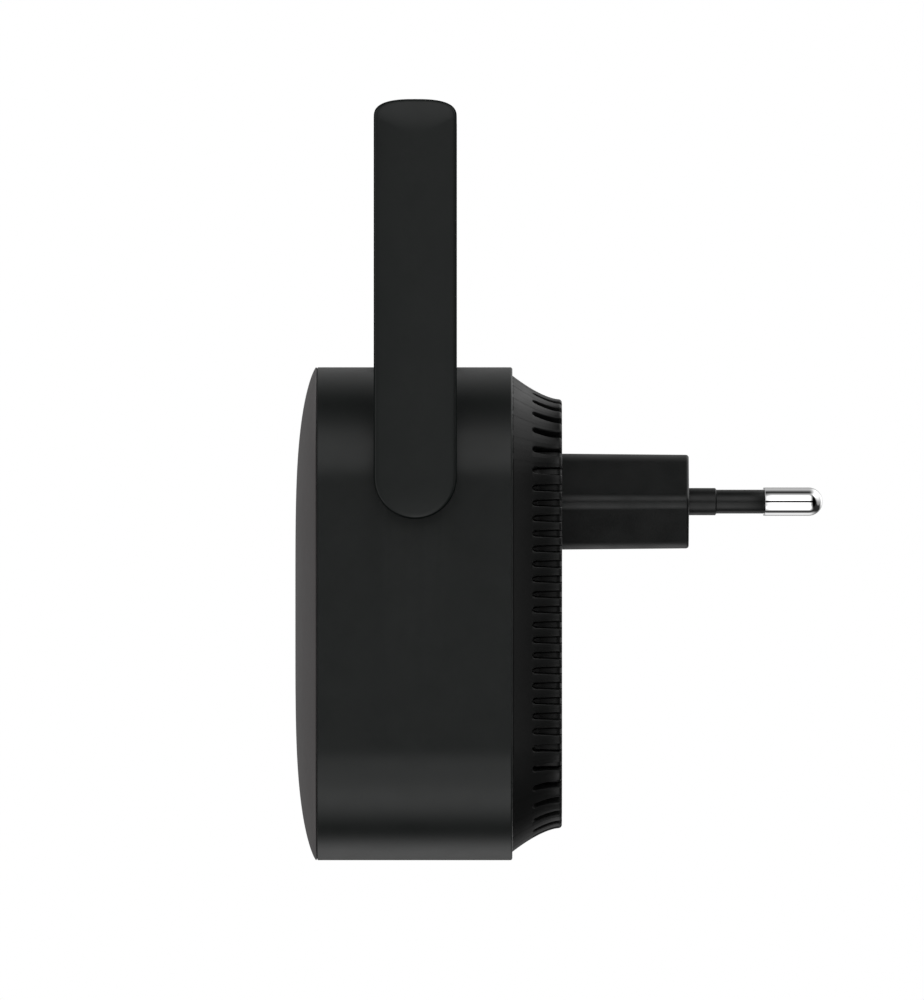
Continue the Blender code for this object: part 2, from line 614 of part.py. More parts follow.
def insulating_sheet():
    block("insulating_sheet", (-17.8 * MM, -41.5 * MM, BODY_Z - 29 * MM), (17.8 * MM, -41.2 * MM, BODY_Z + 29 * MM),
          ((0.8, 0.8, 0.76), 0.4))


def on_logic_board(name, x, z, width, tall, height, look, chamfer=0.1 * MM):
    """A boxy part on the wall side of the logic board."""
    base = LOGIC_BOARD_Y + LOGIC_BOARD_THICKNESS + GAP
    return block(name, (x - width / 2, base, BODY_Z + z - tall / 2),
                 (x + width / 2, base + height, BODY_Z + z + tall / 2), look, chamfer)


def logic_parts():
    dark = ((0.018, 0.018, 0.02), 0.4)
    steel = ((0.6, 0.6, 0.6), 0.35, 1.0)
    base = LOGIC_BOARD_Y + LOGIC_BOARD_THICKNESS + GAP
    on_logic_board("wifi_chip", 0, 4 * MM, 10 * MM, 10 * MM, 0.9 * MM, dark)
    shield = on_logic_board("rf_shield", 0, 4 * MM, 26 * MM, 22 * MM, 2.2 * MM, steel, 0.2 * MM)
    cut(shield, block("shield_hollow", (-12.6 * MM, base - 1 * MM, BODY_Z - 6.6 * MM),
                      (12.6 * MM, base + 1.8 * MM, BODY_Z + 14.6 * MM), None))
    block("thermal_pad", (-8 * MM, base + 2.4 * MM, BODY_Z - 4 * MM), (8 * MM, base + 2.9 * MM, BODY_Z + 12 * MM),
          ((0.45, 0.55, 0.62), 0.7))
    heat_sink(base + 3.1 * MM)
    on_logic_board("flash_chip", -8 * MM, -14 * MM, 5.2 * MM, 5.2 * MM, 1.6 * MM, dark)
    on_logic_board("crystal", 8 * MM, -13 * MM, 3.2 * MM, 2.5 * MM, 0.8 * MM, steel)
    led_front = LOGIC_BOARD_Y - 0.2 * MM
    block("status_led", (-0.8 * MM, led_front - 0.8 * MM, BODY_Z + PIPE_Z - 0.6 * MM),
          (0.8 * MM, led_front, BODY_Z + PIPE_Z + 0.6 * MM), ((0.85, 0.85, 0.75), 0.35), 0.1 * MM)


def heat_sink(base):
    """An aluminium plate with a row of low fins."""
    sink = block("heat_sink", (-11 * MM, base, BODY_Z - 6 * MM), (11 * MM, base + 3 * MM, BODY_Z + 14 * MM),
                 ((0.7, 0.7, 0.71), 0.35, 1.0))
    bm = bmesh.new()
    for i in range(5):
        x = (i - 2) * 4 * MM
        bmesh.ops.create_cube(bm, size=1.0, matrix=Matrix.Translation((x, base + 3 * MM, BODY_Z + 4 * MM))
                              @ Matrix.Diagonal((2.2 * MM, 4 * MM, 24 * MM, 1)))
    cut(sink, add_object("fin_gaps", bm, None))


def reset_button():
    """A side-push switch at the foot of the logic board; its plunger faces the pinhole in the casing's underside."""
    switch_top, switch_foot = BODY_Z - 25.2 * MM, BODY_Z - 29.2 * MM
    switch = block("reset_switch", (-2.2 * MM, RESET_Y - 1.0 * MM, switch_foot),
                   (2.2 * MM, RESET_Y + 1.2 * MM, switch_top), ((0.05, 0.05, 0.05), 0.4), 0.15 * MM)
    cut(switch, rod("plunger_way", PLUNGER_RADIUS + 0.1 * MM, -1 * MM, 2.0 * MM, None,
                    (0, RESET_Y + 0.1 * MM, switch_foot), "Z", 12))
    turned("reset_plunger", [(PLUNGER_RADIUS, 1.2 * MM), (PLUNGER_RADIUS, -1.3 * MM),
                             (PLUNGER_RADIUS - 0.2 * MM, -1.5 * MM)],
           ((0.6, 0.1, 0.08), 0.4), (0, RESET_Y + 0.1 * MM, switch_foot), "Z", 12)


def leads():
    """Two supply leads between the boards, and a coax lead from each pivot to the logic board."""
    power, logic = POWER_BOARD_Y - 0.4 * MM, LOGIC_BOARD_Y + LOGIC_BOARD_THICKNESS + 0.4 * MM
    for name, z, colour in (("red", -4, (0.5, 0.02, 0.02)), ("black", -6.5, (0.01, 0.01, 0.01))):
        height = BODY_Z + z * MM
        route = [(-21 * MM, power, height), (-21 * MM, -31 * MM, height), (-23 * MM, -38 * MM, height),
                 (-21 * MM, -44.5 * MM, height), (-21 * MM, logic, height)]
        tube(f"supply_lead_{name}", route, 0.6 * MM, (colour, 0.45))
    for name, side in (("left", -1), ("right", 1)):
        route = [(26.6, -38.7, 3.4), (25.9, -39.0, 3.0), (24.9, -41.0, 1.2), (24.2, -44.0, -0.6),
                 (24.0, -47.6, -1.4)]
        tube(f"{name}_coax_lead", [(side * x * MM, y * MM, z * MM) for x, y, z in route], COAX_RADIUS,
             ((0.02, 0.02, 0.02), 0.4))


def hinge_fixings(name, side, axis):
    """The bush fixed in the casing's side, and the washer and ring that hold the antenna's hub in it."""
    def spun(part, profile, look, steps):
        return turned(f"{name}_{part}", [(r, side * x) for r, x in profile], look, (0, PIVOT_Y, PIVOT_Z), "X",
                      steps, hollow=True)

    shelf, mouth, washer_end = PIVOT_PAD_X - GAP, SIDE_X - 0.5 * MM, WASHER_X + 0.5 * MM
    spun("hinge_bush", [(BUSH_BORE, BUSH_FOOT_X), (BUSH_FLANGE, BUSH_FOOT_X), (BUSH_FLANGE, shelf),
                        (BUSH_RADIUS, shelf), (BUSH_RADIUS, mouth), (BUSH_BORE, mouth)],
         ((0.7, 0.7, 0.68), 0.4), 20)
    spun("friction_washer", [(BUSH_BORE, WASHER_X), (5.0 * MM, WASHER_X), (5.0 * MM, washer_end),
                             (BUSH_BORE, washer_end)], ((0.02, 0.02, 0.02), 0.7), 16)
    outer, inner, mouth_angle = 4.6 * MM, GROOVE_RADIUS + 0.2 * MM, math.radians(35)
    angles = [mouth_angle + (math.tau - 2 * mouth_angle) * i / 14 for i in range(15)]
    outline = [(outer * math.cos(a), outer * math.sin(a)) for a in angles]
    outline += [(inner * math.cos(a), inner * math.sin(a)) for a in reversed(angles)]
    ring = loft(f"{name}_retaining_ring", [[(side * x, y, z) for y, z in outline]
                                           for x in (RING_X, RING_X + 0.6 * MM)],
                ((0.6, 0.6, 0.6), 0.3, 1.0), (0, PIVOT_Y, PIVOT_Z))
    put_under(axis, ring)


def antenna(name, side, axis):
    """One paddle: an inner cover with a hollow hub, an outer cover, the radiator board and its coax tail."""
    pivot = (0, PIVOT_Y, PIVOT_Z)
    skin = ((0.021, 0.022, 0.021), 0.45)
    face, split = ANTENNA_X, ANTENNA_X + INNER_COVER_THICKNESS
    inner_sections = [(face, 0.5 * MM), (face + 0.5 * MM, 0.0), (split, 0.0)]
    inner = loft(f"{name}_antenna_inner_cover", [antenna_section(side * x, inset) for x, inset in inner_sections],
                 skin, pivot)
    groove_start, groove_end = RING_X - 0.2 * MM, RING_X + 0.8 * MM
    hub = [(HUB_RADIUS, face + 1 * MM), (HUB_RADIUS, groove_end), (GROOVE_RADIUS, groove_end),
           (GROOVE_RADIUS, groove_start), (HUB_RADIUS, groove_start), (HUB_RADIUS, face - HUB_LENGTH + 0.4 * MM),
           (HUB_RADIUS - 0.4 * MM, face - HUB_LENGTH)]
    hub_guide = turned(f"{name}_hub", [(r, side * x) for r, x in hub], None, pivot, "X", 20)
    bore = rod(f"{name}_hub_bore", HUB_BORE, side * (face - HUB_LENGTH - 1 * MM), side * (split + 1 * MM), None,
               pivot, "X", 12)
    join(inner, hub_guide)
    cut(inner, bore)
    top = ANTENNA_X + ANTENNA_THICKNESS
    start = split + COVER_SEAM
    roof = top - 1.3 * MM
    outer_sections = [(roof, 1.6 * MM), (roof - 0.4 * MM, 1.2 * MM), (start, 1.2 * MM), (start, 0.0),
                      (top - 1.3 * MM, 0.0), (top - 0.8 * MM, 0.2 * MM), (top - 0.4 * MM, 0.8 * MM),
                      (top - 0.15 * MM, 2.0 * MM), (top, 4.3 * MM)]
    outer = loft(f"{name}_antenna_outer_cover", [antenna_section(side * x, inset) for x, inset in outer_sections],
                 skin, pivot)
    board_x = sorted((side * (start + 1.0 * MM), side * (start + 1.8 * MM)))
    radiator = block(f"{name}_antenna_board", (board_x[0], PIVOT_Y - 3.8 * MM, PIVOT_Z - 2 * MM),
                     (board_x[1], PIVOT_Y + 3.8 * MM, PIVOT_Z + 47 * MM), ((0.02, 0.16, 0.06), 0.45))
    tail = rod(f"{name}_antenna_coax", COAX_RADIUS, side * (face - HUB_LENGTH - 0.4 * MM), side * (start + 0.7 * MM),
               ((0.02, 0.02, 0.02), 0.4), pivot, "X", 10)
    put_under(axis, inner, hub_guide, bore, outer, radiator, tail)


def antennas():
    for name, side in (("left", -1), ("right", 1)):
        axis = add_empty(f"{name}_hinge_axis", (side * SIDE_X, PIVOT_Y, PIVOT_Z))
        hinge_fixings(name, side, axis)
        antenna(name, side, axis)


def build():
    clear_scene()
    main_shell()
    front_panel()
    light_pipe()
    back_cover()
    cover_screws()
    plug_body()
    plug_screws()
    pins()
    contact_strips()
    board("power_board", POWER_BOARD_Y, POWER_BOARD_THICKNESS, (0.30, 0.22, 0.08))
    board("logic_board", LOGIC_BOARD_Y, LOGIC_BOARD_THICKNESS, (0.01, 0.10, 0.05))
    power_parts()
    insulating_sheet()
    logic_parts()
    reset_button()
    leads()
    antennas()


build()
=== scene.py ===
"""Looks of the wifi range extender: fine meshes, procedural materials, soft studio light and the camera.

Metres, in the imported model's frame. The front panel faces -Y, the pins point to +Y, and up is +Z.
"""

import json
import math

import bmesh
import bpy
import numpy as np
from mathutils import Matrix, Vector


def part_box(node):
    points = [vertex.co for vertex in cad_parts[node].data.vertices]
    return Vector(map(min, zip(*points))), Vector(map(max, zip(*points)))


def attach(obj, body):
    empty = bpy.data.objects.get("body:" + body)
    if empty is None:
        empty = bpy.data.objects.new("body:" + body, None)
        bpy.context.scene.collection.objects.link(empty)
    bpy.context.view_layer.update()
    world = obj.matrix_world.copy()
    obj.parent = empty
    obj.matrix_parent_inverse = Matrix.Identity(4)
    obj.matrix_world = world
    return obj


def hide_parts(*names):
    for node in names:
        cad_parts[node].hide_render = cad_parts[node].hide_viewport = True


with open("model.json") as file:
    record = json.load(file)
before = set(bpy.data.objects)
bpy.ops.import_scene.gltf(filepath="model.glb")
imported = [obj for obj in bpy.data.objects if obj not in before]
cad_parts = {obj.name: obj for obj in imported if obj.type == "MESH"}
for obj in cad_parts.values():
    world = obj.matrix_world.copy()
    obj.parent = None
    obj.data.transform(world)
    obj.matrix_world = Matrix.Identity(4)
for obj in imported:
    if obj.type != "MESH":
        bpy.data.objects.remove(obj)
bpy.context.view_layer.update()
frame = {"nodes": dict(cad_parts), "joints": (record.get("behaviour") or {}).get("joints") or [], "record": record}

MM = 0.001

# Main places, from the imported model
shell_low, shell_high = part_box("main_shell")
panel_low, panel_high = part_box("front_panel")
cover_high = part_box("back_cover")[1]
plug_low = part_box("plug_body")[0]
COVER_DEPTH = 7.0 * MM
BODY_Z = (shell_low.z + shell_high.z) / 2
HALF = (shell_high.z - shell_low.z) / 2
FRONT_Y, BACK_Y = shell_low.y, cover_high.y
RIM_Y = BACK_Y - COVER_DEPTH
PANEL_Y = panel_high.y
DOME = PANEL_Y - panel_low.y
pivots = {j["name"].split("_")[0]: Vector(j["pos_m"]) for j in frame["joints"] if "antenna" in j["name"]}
SIDES = (("left", -1), ("right", 1))

# Casing outline: straight sides with corners of a superellipse
CORNER = 16.5 * MM
POWER = 2.15
STRAIGHT = HALF - CORNER

# Back cover: a step in from the shell, then a flare down to the back, with a comb of slots
STEP = 1.17 * MM
FLARE = 3.35 * MM
BACK_EDGE = 0.5 * MM
WAIST = COVER_DEPTH - BACK_EDGE
BACK_WALL = 1.8 * MM
PLATE_INSET = 7.2 * MM
SLOT_START = 2.8 * MM
SLOT_END_INSET = 6.3 * MM
SLOT_HALF_START, SLOT_HALF_END = 0.42 * MM, 0.55 * MM
SLOT_BEVEL = 0.14 * MM
SLOT_DEEP = 3.6 * MM
SLOT_SHALLOW = 2.8 * MM
SLOT_PITCH = 2.146 * MM
SLOT_LIFT = 0.63 * MM
SIDE_SLOTS = 17
CORNER_SLOTS = 7
FAN_CENTRE = 18.2 * MM
RIDGE = 0.4
SCREW_PLACE = 22.5 * MM

# Plug and pins
PLUG_HALF_WIDTH = 17.65 * MM
PLUG_HALF_HEIGHT = 6.8 * MM
PLUG_HALF_FLAT = 11.6 * MM
PLUG_DRAFT = 0.17 * MM
NOSE_RADIUS = 1.75 * MM
SHOULDER_RADIUS = 3.7 * MM
PIN_PLACE = 9.3 * MM
PIN_RADIUS = 2.0 * MM
PIN_LENGTH = 19.0 * MM
PIN_LEAN = math.atan(0.55 * MM / PIN_LENGTH)
SLEEVE_END = 10.6 * MM

# Antenna paddles
PADDLE_HALF = 5.85 * MM
PADDLE_REACH = 50.65 * MM
PADDLE_RISE = 2.6 * MM
PADDLE_DRAFT = 0.18 * MM


# ---------------------------------------------------------------- materials

def socket(shader, name, value):
    shader.inputs[name].default_value = value


def surface(name, colour, roughness, metallic=0.0, specular=0.5, spread=0.12, rough_spread=0.06, grain=0.0,
            grain_size=0.12 * MM, wear=None, mottle=9 * MM, **extra):
    """A moulded or machined finish: mottled colour, uneven gloss, fine grain and optional worn edges."""
    mat = bpy.data.materials.new(name)
    mat.use_nodes = True
    nodes, links = mat.node_tree.nodes, mat.node_tree.links
    shader = nodes["Principled BSDF"]
    socket(shader, "Metallic", metallic)
    socket(shader, "Specular IOR Level", specular)
    for key, value in extra.items():
        socket(shader, key.replace("_", " ").title(), value)
    place = nodes.new("ShaderNodeTexCoord")

    def noise(size, detail):
        node = nodes.new("ShaderNodeTexNoise")
        node.inputs["Scale"].default_value = 1 / size
        node.inputs["Detail"].default_value = detail
        links.new(place.outputs["Object"], node.inputs["Vector"])
        return node.outputs["Fac"]

    def ramp(source, low, high, start=0.3, end=0.7):
        node = nodes.new("ShaderNodeValToRGB")
        node.color_ramp.elements[0].position, node.color_ramp.elements[1].position = start, end
        node.color_ramp.elements[0].color, node.color_ramp.elements[1].color = (*low, 1), (*high, 1)
        links.new(source, node.inputs["Fac"])
        return node.outputs["Color"]

    broad = noise(mottle, 3)
    shade = ramp(broad, [c * (1 - spread) for c in colour], [c * (1 + spread) for c in colour])
    if wear:
        edge = nodes.new("ShaderNodeNewGeometry").outputs["Pointiness"]
        mask = ramp(edge, (0, 0, 0), (1, 1, 1), 0.52, 0.60)
        mix = nodes.new("ShaderNodeMix")
        mix.data_type = "RGBA"
        links.new(mask, mix.inputs["Factor"])
        links.new(shade, mix.inputs["A"])
        worn = ramp(noise(1.5 * MM, 2), wear, [c * 0.8 for c in wear])
        links.new(worn, mix.inputs["B"])
        shade = mix.outputs["Result"]
    links.new(shade, shader.inputs["Base Color"])
    gloss = nodes.new("ShaderNodeMapRange")
    gloss.inputs["From Min"].default_value, gloss.inputs["From Max"].default_value = 0.3, 0.7
    gloss.inputs["To Min"].default_value = max(roughness - rough_spread, 0.01)
    gloss.inputs["To Max"].default_value = roughness + rough_spread
    links.new(noise(mottle * 0.4, 4), gloss.inputs["Value"])
    links.new(gloss.outputs["Result"], shader.inputs["Roughness"])
    if grain:
        bump = nodes.new("ShaderNodeBump")
        bump.inputs["Strength"].default_value = grain
        bump.inputs["Distance"].default_value = grain_size * 0.25
        links.new(noise(grain_size, 2), bump.inputs["Height"])
        links.new(bump.outputs["Normal"], shader.inputs["Normal"])
    return mat


SHELL = surface("shell_plastic", (0.0078, 0.0091, 0.0087), 0.30, specular=0.25, grain=0.10, spread=0.04,
                rough_spread=0.02, wear=(0.0125, 0.014, 0.0135))
PANEL = surface("panel_plastic", (0.0475, 0.0435, 0.0435), 0.38, specular=0.3, grain=0.22, spread=0.04,
                rough_spread=0.02, wear=(0.055, 0.053, 0.053))
COVER = surface("cover_plastic", (0.0047, 0.0049, 0.0048), 0.37, specular=0.25, grain=0.3,
                grain_size=0.2 * MM, spread=0.08, rough_spread=0.04)
PLUG = surface("plug_plastic", (0.0042, 0.0048, 0.0046), 0.36, specular=0.3, grain=0.3, grain_size=0.2 * MM,
               spread=0.06, wear=(0.014, 0.015, 0.014))
SLEEVE = surface("sleeve_plastic", (0.0058, 0.0062, 0.0060), 0.34, specular=0.28, grain=0.15, spread=0.08)
NICKEL = surface("nickel_pin", (0.95, 0.95, 0.95), 0.045, 1.0, spread=0.02, rough_spread=0.015, mottle=3 * MM)
ANTENNA = surface("antenna_plastic", (0.0070, 0.0084, 0.0080), 0.34, specular=0.25, grain=0.12, spread=0.04,
                  rough_spread=0.02)
ANTENNA_SIDE = surface("antenna_side_plastic", (0.0078, 0.0092, 0.0088), 0.6, specular=0.0, grain=0.3,
                       grain_size=0.2 * MM, spread=0.06)
LENS = surface("light_pipe", (0.62, 0.66, 0.70), 0.18, specular=0.5, spread=0.05, mottle=1 * MM,
               transmission_weight=0.5)

# Finishes of the parts inside, by the record's material slots
INSIDE = {
    "steel": surface("steel", (0.50, 0.50, 0.51), 0.30, 1.0, grain=0.2, spread=0.08, mottle=2 * MM),
    "tinned_steel": surface("tinned_steel", (0.58, 0.58, 0.57), 0.36, 1.0, grain=0.2, spread=0.12),
    "brass": surface("brass", (0.72, 0.52, 0.22), 0.28, 1.0, grain=0.15, spread=0.12, mottle=3 * MM),
    "brown_board": surface("brown_board", (0.20, 0.105, 0.045), 0.55, grain=0.4, spread=0.18, mottle=4 * MM),
    "green_board": surface("green_board", (0.012, 0.10, 0.035), 0.32, grain=0.3, spread=0.2, mottle=1.5 * MM),
    "acetal": surface("acetal", (0.62, 0.61, 0.57), 0.40, grain=0.2, spread=0.05, subsurface_weight=0.05),
    "black_rubber": surface("black_rubber", (0.018, 0.018, 0.018), 0.75, grain=0.5, spread=0.15),
    "black_lead": surface("black_lead", (0.014, 0.014, 0.015), 0.42, grain=0.2, spread=0.12, mottle=2 * MM),
    "red_lead": surface("red_lead", (0.42, 0.020, 0.018), 0.40, grain=0.2, spread=0.12, mottle=2 * MM),
    "component_sleeve": surface("component_sleeve", (0.030, 0.042, 0.085), 0.30, grain=0.1, spread=0.12),
    "ferrite": surface("ferrite", (0.030, 0.030, 0.032), 0.62, grain=0.6, grain_size=0.3 * MM, spread=0.2),
    "winding_tape": surface("winding_tape", (0.66, 0.50, 0.09), 0.36, grain=0.3, spread=0.12, mottle=3 * MM),
    "blue_epoxy": surface("blue_epoxy", (0.035, 0.10, 0.32), 0.25, grain=0.3, grain_size=0.6 * MM,
                          spread=0.1),
    "resistor_coat": surface("resistor_coat", (0.13, 0.27, 0.18), 0.48, grain=0.4, spread=0.12,
                             mottle=2 * MM),
    "insulating_film": surface("insulating_film", (0.70, 0.70, 0.65), 0.30, grain=0.2, spread=0.06),
    "thermal_pad": surface("thermal_pad", (0.40, 0.50, 0.57), 0.80, grain=0.6, grain_size=0.4 * MM,
                           spread=0.12),
    "aluminium": surface("aluminium", (0.70, 0.71, 0.72), 0.34, 1.0, grain=0.35, spread=0.08, mottle=2 * MM),
    "led_body": surface("led_body", (0.80, 0.80, 0.74), 0.35, grain=0.1, spread=0.08, mottle=0.5 * MM),
    "plunger_plastic": surface("plunger_plastic", (0.55, 0.55, 0.53), 0.42, grain=0.2, spread=0.08),
    "chip_plastic": surface("chip_plastic", (0.018, 0.018, 0.020), 0.52, grain=0.5, grain_size=0.15 * MM,
                            spread=0.15, mottle=1.5 * MM),
}


# ---------------------------------------------------------------- mesh helpers

def finish_mesh(obj, looks, cutters=(), joined=(), sharp=40.0):
    """Adds and cuts the tools, then bakes smooth shading that keeps wide faces flat and fine edges round."""
    tools = [(tool, "UNION") for tool in joined] + [(tool, "DIFFERENCE") for tool in cutters]
    for tool, operation in tools:
        modifier = obj.modifiers.new(operation, "BOOLEAN")
        modifier.operation, modifier.solver, modifier.object = operation, "EXACT", tool
    bpy.context.view_layer.update()
    mesh = bpy.data.meshes.new_from_object(obj.evaluated_get(bpy.context.evaluated_depsgraph_get()))
    obj.modifiers.clear()
    obj.data = mesh
    mesh.shade_smooth()
    mesh.set_sharp_from_angle(angle=math.radians(sharp))
    weights = obj.modifiers.new("weighted", "WEIGHTED_NORMAL")
    weights.keep_sharp = True
    weights.weight = 80
    bpy.context.view_layer.update()
    obj.data = bpy.data.meshes.new_from_object(obj.evaluated_get(bpy.context.evaluated_depsgraph_get()))
    obj.modifiers.clear()
    obj.data.materials.clear()
    obj.data.materials.append(looks)
    for tool, _ in tools:
        bpy.data.objects.remove(tool)
    return obj


def raw_object(name, bm):
    bmesh.ops.recalc_face_normals(bm, faces=bm.faces)
    mesh = bpy.data.meshes.new(name)
    bm.to_mesh(mesh)
    bm.free()
    obj = bpy.data.objects.new(name, mesh)
    bpy.context.scene.collection.objects.link(obj)
    return obj


def skin(name, rings, looped=False):
    """A closed solid over rings of points: flat end faces, or the last ring joined to the first."""
    bm = bmesh.new()
    rows = [[bm.verts.new(point) for point in ring] for ring in rings]
    for row, following in zip(rows, rows[1:] + rows[:1] if looped else rows[1:]):
        for i, vert in enumerate(row):
            j = (i + 1) % len(row)
            bm.faces.new((vert, row[j], following[j], following[i]))
    if not looped:
        bm.faces.new(rows[0])
        bm.faces.new(rows[-1])
    return raw_object(name, bm)


def turned(name, profile, matrix, steps=48, looped=False):
    """A solid spun from (radius, height) points about Z, then put in place by the matrix."""
    around = [(math.cos(math.tau * i / steps), math.sin(math.tau * i / steps)) for i in range(steps)]
    rings = [[matrix @ Vector((r * c, r * s, h)) for c, s in around] for r, h in profile]
    return skin(name, rings, looped)


def along(axis, place, side=1):
    """Turns local Z to the given world axis, at a place."""
    turn = {"X": Matrix.Rotation(side * math.pi / 2, 4, "Y"),
            "Y": Matrix.Rotation(-side * math.pi / 2, 4, "X"),
            "Z": Matrix.Identity(4)}[axis]
    return Matrix.Translation(place) @ turn


def rod(radius, start, end, axis, place, steps=40):
    """A round tool for cutting or joining."""
    return turned("cutter", [(radius, start), (radius, end)], along(axis, place), steps)


def arc(radius, start, end, steps, centre=(0, 0)):
    """Points of an arc between two angles in degrees."""
    angles = np.radians(np.linspace(start, end, steps + 1))
    return [(centre[0] + radius * math.cos(a), centre[1] + radius * math.sin(a)) for a in angles]


def settle(obj, body, slot, *nodes):
    """Hides the CAD nodes that a finished piece stands for and ties the piece to its body. The slot is not used.
    """
    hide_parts(*nodes)
    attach(obj, body)
    return obj


# ---------------------------------------------------------------- casing

def casing_ring(y, inset, scale=1.0, steps=36):
    """The casing's outline at a depth, drawn in by an inset and shrunk by a scale."""
    radius = CORNER - inset
    points = []
    for quarter in range(4):
        c, s = round(math.cos(quarter * math.pi / 2)), round(math.sin(quarter * math.pi / 2))
        for i in range(steps + 1):
            a = math.radians(90 * i / steps)
            x = STRAIGHT + radius * math.cos(a) ** (2 / POWER)
            z = STRAIGHT + radius * max(math.sin(a), 0.0) ** (2 / POWER)
            points.append(((x * c - z * s) * scale, y, (x * s + z * c) * scale + BODY_Z))
    return points


def make_shell():
    edge, lip, wall = 0.3 * MM, 0.12 * MM, 1.8 * MM
    lap, lap_depth, web = STEP - 0.3 * MM, 1.5 * MM, 1.6 * MM
    front = [(FRONT_Y + lip - b, lip - a) for a, b in arc(lip, 90, 0, 5)]
    rim = [(RIM_Y - edge + b, edge - a) for a, b in arc(edge, 0, 90, 5)]
    inside = [(RIM_Y, lap), (RIM_Y - lap_depth, lap), (RIM_Y - lap_depth, wall), (FRONT_Y + web, wall)]
    middle = [(y, 0.0) for y in np.linspace(FRONT_Y + edge, RIM_Y - edge, 12)[1:-1]]
    shell = skin("shell_skin", [casing_ring(y, inset) for y, inset in front + middle + rim + inside])
    holes = [rod(4.6 * MM, -4 * MM, 4 * MM, "X", place, 64) for place in pivots.values()]
    low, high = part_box("reset_plunger")
    holes.append(rod(0.75 * MM, -2 * MM, 4 * MM, "Z", (0, (low.y + high.y) / 2, shell_low.z), 32))
    low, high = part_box("light_pipe")
    holes.append(rod(1.5 * MM, -2 * MM, 4 * MM, "Y", (0, FRONT_Y, (low.z + high.z) / 2), 32))
    return settle(finish_mesh(shell, SHELL, holes), "casing", "shell_plastic", "main_shell")


def dome(scale):
    """The panel's height at an outline shrunk by a scale: a broad crown that drops faster near the edge."""
    return DOME * max(1 - scale ** 4, 0.0) ** (1 / 1.3)


def make_panel():
    wall = 1.5 * MM
    outer = [math.sin(math.radians(a)) for a in np.linspace(1, 86, 46)]
    outer += [math.sin(math.radians(a)) for a in np.linspace(86, 89.4, 7)[1:]]
    inner = [0.1, 0.3, 0.5, 0.65, 0.75, 0.86]
    # A stepped lip behind the edge closes the seam
    lip = [(0.0, 0.9), (0.17 * MM, 0.91), (0.17 * MM, 0.9945), (0.08 * MM, 0.996), (0.08 * MM, 0.9985)]
    rings = [casing_ring(PANEL_Y - dome(s) + wall, 0.0, s) for s in inner]
    rings += [casing_ring(PANEL_Y + y, 0.0, s) for y, s in lip]
    rings += [casing_ring(PANEL_Y - dome(s), 0.0, s) for s in reversed(outer)]
    panel = skin("front_panel_skin", rings)
    low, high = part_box("light_pipe")
    hole = rod(1.3 * MM, -6 * MM, 1 * MM, "Y", (0, PANEL_Y, (low.z + high.z) / 2), 48)
    return settle(finish_mesh(panel, PANEL, [hole]), "casing", "panel_plastic", "front_panel")


def make_light_pipe():
    low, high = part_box("light_pipe")
    radius, crown_height = (high.x - low.x) / 2, 0.3 * MM
    straight = high.y - low.y - crown_height
    profile = [(radius, 0.0), (radius, straight)]
    profile += [(radius * math.cos(a), straight + crown_height * math.sin(a))
                for a in np.radians(np.linspace(8, 88, 10))]
    pipe = turned("light_pipe_lens", profile, along("Y", (0, high.y, (low.z + high.z) / 2), -1), 40)
    return settle(finish_mesh(pipe, LENS), "casing", "light_pipe", "light_pipe")


# ---------------------------------------------------------------- back cover

def flare(y):
    """The cover's inset from the casing outline, at a depth behind the rim."""
    return STEP + FLARE * (1 - (1 - y / WAIST) ** 1.5)


def flare_tilt(y):
    """How far the cover's surface leans towards the back, at a depth behind the rim."""
    if y < WAIST:
        return math.atan(1.5 * FLARE / WAIST * math.sqrt(1 - max(y, 0.0) / WAIST))
    return math.asin(min((y - WAIST) / BACK_EDGE, 1.0))


def outline_reach(origin, heading, inset):
    """How far from each origin the casing outline at an inset lies along a heading, in X and Z."""
    low, high = np.zeros(len(inset)), np.full(len(inset), HALF * 1.6)
    for _ in range(40):
        middle = (low + high) / 2
        place = np.abs(origin + heading * middle[:, None])
        corner = np.maximum(place - STRAIGHT, 0.0)
        radius = (corner[:, 0] ** POWER + corner[:, 1] ** POWER) ** (1 / POWER)
        outside = radius > CORNER - inset
        high = np.where(outside, middle, high)
        low = np.where(outside, low, middle)
    return (low + high) / 2


def outline_normals(place, tilt):
    """Outward normals of the casing outline at places in X and Z, tilted towards +Y."""
    corner = np.maximum(np.abs(place) - STRAIGHT, 0.0) / CORNER
    flat = np.sign(place) * corner ** (POWER - 1)
    flat /= np.linalg.norm(flat, axis=1)[:, None]
    return np.column_stack([flat[:, 0] * math.cos(tilt), np.full(len(flat), math.sin(tilt)),
                            flat[:, 1] * math.cos(tilt)])


def use_normals(mesh, normals):
    """Gives the first vertices' loops exact normals, where their face lies along the surface."""
    loops = np.empty(len(mesh.loops), int)
    mesh.loops.foreach_get("vertex_index", loops)
    corners = np.empty(len(loops) * 3)
    mesh.corner_normals.foreach_get("vector", corners)
    faces = np.empty(len(mesh.polygons) * 3)
    mesh.polygon_normals.foreach_get("vector", faces)
    sides = np.empty(len(mesh.polygons), int)
    mesh.polygons.foreach_get("loop_total", sides)
    corners, faces = corners.reshape(-1, 3), np.repeat(faces.reshape(-1, 3), sides, axis=0)
    exact = np.zeros((len(mesh.vertices), 3))
    exact[:len(normals)] = normals
    exact = exact[loops]
    on_surface = (faces * exact).sum(axis=1) > 0.85
    corners[on_surface] = exact[on_surface]
    mesh.normals_split_custom_set(corners.tolist())


